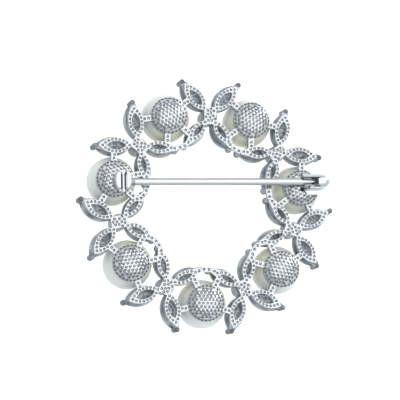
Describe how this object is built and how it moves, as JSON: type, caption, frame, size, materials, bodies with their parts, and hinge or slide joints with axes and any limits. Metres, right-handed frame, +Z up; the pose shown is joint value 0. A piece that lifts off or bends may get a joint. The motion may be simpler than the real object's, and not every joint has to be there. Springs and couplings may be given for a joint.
{
  "type": "wreath brooch",
  "caption": "Round openwork wreath brooch of leaf-shaped stone settings and large pearls, lying face down, with a hinged pin and a turning catch on its back.",
  "frame": {"origin": "middle of the wreath, on the surface that its seven pearls rest on", "axes": "+Z up out of the brooch's back, +Y towards the spray at the top of the picture, +X to the right as its back is seen"},
  "size_m": [0.0424, 0.0414, 0.0115],
  "materials": {
    "plated_metal": "bright rhodium plate on cast brass, pierced and punched with small dimples",
    "imitation_pearl": "cream lustre on glass beads",
    "cut_glass": "clear faceted, darkened foil behind"
  },
  "bodies": {
    "brooch": {"frame": "plated_metal", "hinge_rivet": "plated_metal", "pearl_1": "imitation_pearl", "outer_stone_1_left": "cut_glass", "outer_stone_1_right": "cut_glass", "inner_stone_1_left": "cut_glass", "inner_stone_1_right": "cut_glass", "hub_stone_1": "cut_glass", "pearl_2": "imitation_pearl", "outer_stone_2_left": "cut_glass", "outer_stone_2_right": "cut_glass", "inner_stone_2_left": "cut_glass", "inner_stone_2_right": "cut_glass", "hub_stone_2": "cut_glass", "pearl_3": "imitation_pearl", "outer_stone_3_left": "cut_glass", "outer_stone_3_right": "cut_glass", "inner_stone_3_left": "cut_glass", "inner_stone_3_right": "cut_glass", "hub_stone_3": "cut_glass", "pearl_4": "imitation_pearl", "outer_stone_4_left": "cut_glass", "outer_stone_4_right": "cut_glass", "inner_stone_4_left": "cut_glass", "inner_stone_4_right": "cut_glass", "hub_stone_4": "cut_glass", "pearl_5": "imitation_pearl", "outer_stone_5_left": "cut_glass", "outer_stone_5_right": "cut_glass", "inner_stone_5_left": "cut_glass", "inner_stone_5_right": "cut_glass", "hub_stone_5": "cut_glass", "pearl_6": "imitation_pearl", "outer_stone_6_left": "cut_glass", "outer_stone_6_right": "cut_glass", "inner_stone_6_left": "cut_glass", "inner_stone_6_right": "cut_glass", "hub_stone_6": "cut_glass", "pearl_7": "imitation_pearl", "outer_stone_7_left": "cut_glass", "outer_stone_7_right": "cut_glass", "inner_stone_7_left": "cut_glass", "inner_stone_7_right": "cut_glass", "hub_stone_7": "cut_glass"},
    "pin": {"pin_stem": "plated_metal"},
    "lock": {"catch_lever": "plated_metal"}
  },
  "joints": [
    {"name": "pin_hinge", "type": "hinge", "parent": "brooch", "child": "pin", "pos_m": [-0.01446, 0.00283, 0.0102], "axis": [0.0506, -0.9987, 0], "range_deg": [0, 100]},
    {"name": "catch_lock", "type": "hinge", "parent": "brooch", "child": "lock", "pos_m": [0.0162, 0.00438, 0.0102], "axis": [-0.9987, -0.0506, 0], "range_deg": [0, 108]}
  ]
}
